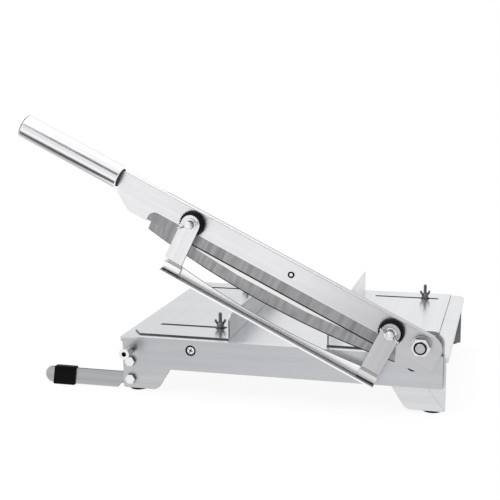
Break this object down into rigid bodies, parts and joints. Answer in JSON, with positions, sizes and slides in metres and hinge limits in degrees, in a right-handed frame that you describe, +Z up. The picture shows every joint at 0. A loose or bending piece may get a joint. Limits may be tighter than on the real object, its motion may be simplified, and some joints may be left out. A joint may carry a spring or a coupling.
{
  "type": "bone cutting machine",
  "caption": "Low sheet steel table with a fixed front blade and a long hinged lever arm carrying a curved knife, a guard bar and a tube handle.",
  "frame": {"origin": "middle of the whole object's outer box in plan, on the ground", "axes": "+X to the pivot side along the table's front edge, +Y to the back of the table, +Z up"},
  "size_m": [0.45, 0.3128, 0.2973],
  "materials": {
    "stainless_sheet": "satin brushed",
    "leg_sheet": "satin brushed",
    "blade_steel": "ground satin",
    "knife_steel": "ground across, bright bevel edge",
    "arm_steel": "satin",
    "bright_steel": "polished",
    "fastener_steel": "turned",
    "aluminium_tube": "satin anodised",
    "bronze": "machined",
    "black_rubber": "matt",
    "black_plastic": "matt"
  },
  "bodies": {
    "base": {"table_top": "stainless_sheet", "front_leg_panel": "leg_sheet", "rear_leg_panel": "leg_sheet", "rubber_feet": "black_rubber", "lower_blade": "blade_steel", "lower_blade_screws": "bright_steel", "lower_blade_nuts": "fastener_steel", "pivot_bracket": "blade_steel", "pivot_bolt": "fastener_steel", "pivot_spacer": "fastener_steel", "pivot_washer": "bright_steel", "pivot_lock_nut": "bright_steel", "stop_pin": "fastener_steel", "stop_pin_nut": "fastener_steel", "leg_bolts": "bright_steel", "leg_bolt_nuts": "fastener_steel", "fence_studs": "fastener_steel", "fence_washers": "fastener_steel"},
    "arm": {"arm": "arm_steel", "pivot_bush": "bronze", "knife": "knife_steel", "knife_rivet": "bright_steel", "handle_tube": "aluminium_tube", "handle_plug": "black_plastic", "handle_end_cap": "bright_steel", "guard_bar": "arm_steel", "left_guard_ear": "arm_steel", "right_guard_ear": "arm_steel", "guard_bolts": "bright_steel", "guard_bolt_washers": "bright_steel"},
    "side_support": {"outrigger_bar": "blade_steel", "outrigger_sleeve": "black_rubber"},
    "left_fence": {"left_fence": "stainless_sheet"},
    "right_fence": {"right_fence": "stainless_sheet"},
    "left_front_wing_nut": {"left_front_wing_nut": "fastener_steel"},
    "left_back_wing_nut": {"left_back_wing_nut": "fastener_steel"},
    "right_front_wing_nut": {"right_front_wing_nut": "fastener_steel"},
    "right_back_wing_nut": {"right_back_wing_nut": "fastener_steel"},
    "left_knurled_wheel": {"left_knurled_wheel": "black_plastic"},
    "right_knurled_wheel": {"right_knurled_wheel": "black_plastic"},
    "left_guard_wing_nut": {"left_guard_wing_nut": "bright_steel"},
    "right_guard_wing_nut": {"right_guard_wing_nut": "bright_steel"}
  },
  "joints": [
    {"name": "arm_swing", "type": "hinge", "parent": "base", "child": "arm", "pos_m": [0.19904, -0.13162, 0.0741], "axis": [0, 1, 0], "range_deg": [-25.95, 36]},
    {"name": "side_support_swing", "type": "hinge", "parent": "base", "child": "side_support", "pos_m": [-0.11325, -0.12097, 0.0134], "axis": [0, 1, 0], "range_deg": [0, 50]},
    {"name": "left_fence_slide", "type": "slide", "parent": "base", "child": "left_fence", "axis": [1, 0, 0], "range_m": [-0.005, 0.045]},
    {"name": "right_fence_slide", "type": "slide", "parent": "base", "child": "right_fence", "axis": [1, 0, 0], "range_m": [-0.013, 0.027]},
    {"name": "left_front_wing_nut_turn", "type": "hinge", "parent": "base", "child": "left_front_wing_nut", "pos_m": [-0.02715, -0.07162, 0.065], "axis": [0, 0, 1], "continuous": true},
    {"name": "left_back_wing_nut_turn", "type": "hinge", "parent": "base", "child": "left_back_wing_nut", "pos_m": [-0.04816, 0.11737, 0.065], "axis": [0, 0, 1], "continuous": true},
    {"name": "right_front_wing_nut_turn", "type": "hinge", "parent": "base", "child": "right_front_wing_nut", "pos_m": [0.14785, -0.07162, 0.065], "axis": [0, 0, 1], "continuous": true},
    {"name": "right_back_wing_nut_turn", "type": "hinge", "parent": "base", "child": "right_back_wing_nut", "pos_m": [0.17924, 0.11737, 0.065], "axis": [0, 0, 1], "continuous": true},
    {"name": "left_knurled_wheel_turn", "type": "hinge", "parent": "arm", "child": "left_knurled_wheel", "pos_m": [-0.03478, -0.13962, 0.18849], "axis": [0, 1, 0], "continuous": true},
    {"name": "left_guard_wing_nut_turn", "type": "hinge", "parent": "arm", "child": "left_guard_wing_nut", "pos_m": [-0.03478, -0.15063, 0.18849], "axis": [0, 1, 0], "continuous": true},
    {"name": "right_knurled_wheel_turn", "type": "hinge", "parent": "arm", "child": "right_knurled_wheel", "pos_m": [0.16972, -0.13962, 0.08699], "axis": [0, 1, 0], "continuous": true},
    {"name": "right_guard_wing_nut_turn", "type": "hinge", "parent": "arm", "child": "right_guard_wing_nut", "pos_m": [0.16972, -0.15063, 0.08699], "axis": [0, 1, 0], "continuous": true}
  ]
}
